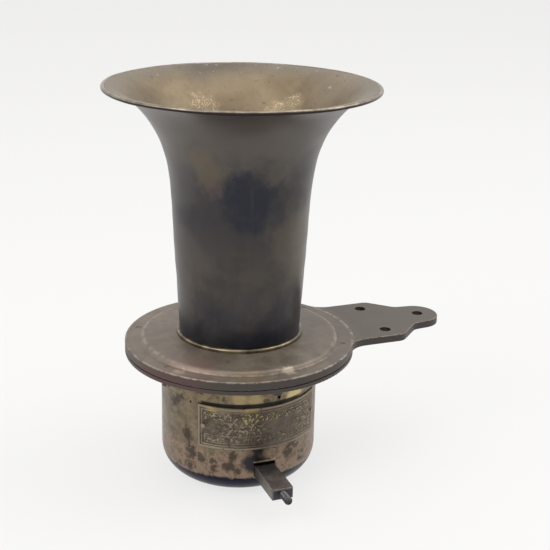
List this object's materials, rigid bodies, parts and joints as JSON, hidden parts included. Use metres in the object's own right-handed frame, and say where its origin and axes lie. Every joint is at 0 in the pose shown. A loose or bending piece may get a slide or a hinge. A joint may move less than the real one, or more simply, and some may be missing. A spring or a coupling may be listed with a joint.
{
  "type": "hand plunger warning horn",
  "caption": "Antique hand-operated mechanical horn: flared bell on a diaphragm housing, side bracket arm and a rack plunger that spins a toothed sound wheel.",
  "frame": {"origin": "on the horn's axis at the plane the housing cup stands on", "axes": "+Z along the horn's axis out of the bell's mouth, +X along the bracket arm, and the plunger comes out along -Y"},
  "size_m": [0.1854, 0.1444, 0.2071],
  "materials": {
    "bell_brass": "brown-black patina outside, warm dull brass inside the flare",
    "bright_brass": "rubbed brass edge",
    "plate_bronze": "satin grey-brown patina",
    "cup_brass": "mottled tarnish over drawn brass",
    "nameplate_brass": "embossed, dirty in the recesses, rubbed on the relief",
    "gear_brass": "machined brass, dull with oil",
    "dark_steel": "oil-darkened steel",
    "stud_steel": "bare threaded steel",
    "screw_steel": "dark steel screws",
    "spring_steel": "spring steel",
    "gasket": "oiled fibre gasket"
  },
  "bodies": {
    "housing": {"bell_sheet": "bell_brass", "rim_wire": "bright_brass", "bell_ferrule": "bright_brass", "front_plate": "plate_bronze", "front_gasket": "gasket", "diaphragm": "spring_steel", "rear_gasket": "gasket", "anvil": "dark_steel", "anvil_nut": "gear_brass", "rear_clamp_ring": "plate_bronze", "rim_screws": "screw_steel", "housing_cup": "cup_brass", "nameplate": "nameplate_brass", "nameplate_rivets": "nameplate_brass", "frame_plate_left": "gear_brass", "frame_plate_right": "gear_brass", "frame_pillars": "gear_brass", "pillar_screws": "screw_steel", "guide_screws": "screw_steel", "foot_screws": "screw_steel", "plunger_guides": "gear_brass", "shaft_bushes": "gear_brass", "spring_anchor": "dark_steel", "return_spring": "spring_steel"},
    "plunger": {"plunger_bar": "dark_steel", "plunger_stud": "stud_steel", "stop_pin": "dark_steel", "spring_lug": "dark_steel"},
    "first_shaft_set": {"first_shaft": "dark_steel", "rack_pinion": "dark_steel", "ratchet_wheel": "dark_steel", "pawl": "dark_steel", "pawl_pin": "dark_steel", "first_gear": "gear_brass"},
    "second_shaft_set": {"second_shaft": "dark_steel", "second_pinion": "dark_steel", "second_gear": "gear_brass"},
    "sound_wheel_set": {"third_shaft": "dark_steel", "third_pinion": "dark_steel", "sound_wheel": "dark_steel"}
  },
  "joints": [
    {"name": "plunger_slide", "type": "slide", "parent": "housing", "child": "plunger", "axis": [0, 1, 0], "range_m": [0, 0.022], "stiffness_N_per_m": 250, "springref_m": -0.012, "deforming": ["return_spring"]},
    {"name": "first_shaft_spin", "type": "hinge", "parent": "housing", "child": "first_shaft_set", "pos_m": [0, 0, 0.0232], "axis": [1, 0, 0], "range_deg": [0, 212]},
    {"name": "second_shaft_spin", "type": "hinge", "parent": "housing", "child": "second_shaft_set", "pos_m": [0, 0.01241, 0.03496], "axis": [1, 0, 0], "range_deg": [-790, 0]},
    {"name": "sound_wheel_spin", "type": "hinge", "parent": "housing", "child": "sound_wheel_set", "pos_m": [0, 0, 0.048], "axis": [1, 0, 0], "range_deg": [0, 3155]}
  ],
  "couplings": [
    {"joint": "first_shaft_spin", "follows": "plunger_slide", "rad_per_m": 166.67},
    {"joint": "second_shaft_spin", "follows": "plunger_slide", "rad_per_m": -625},
    {"joint": "sound_wheel_spin", "follows": "plunger_slide", "rad_per_m": 2500}
  ]
}
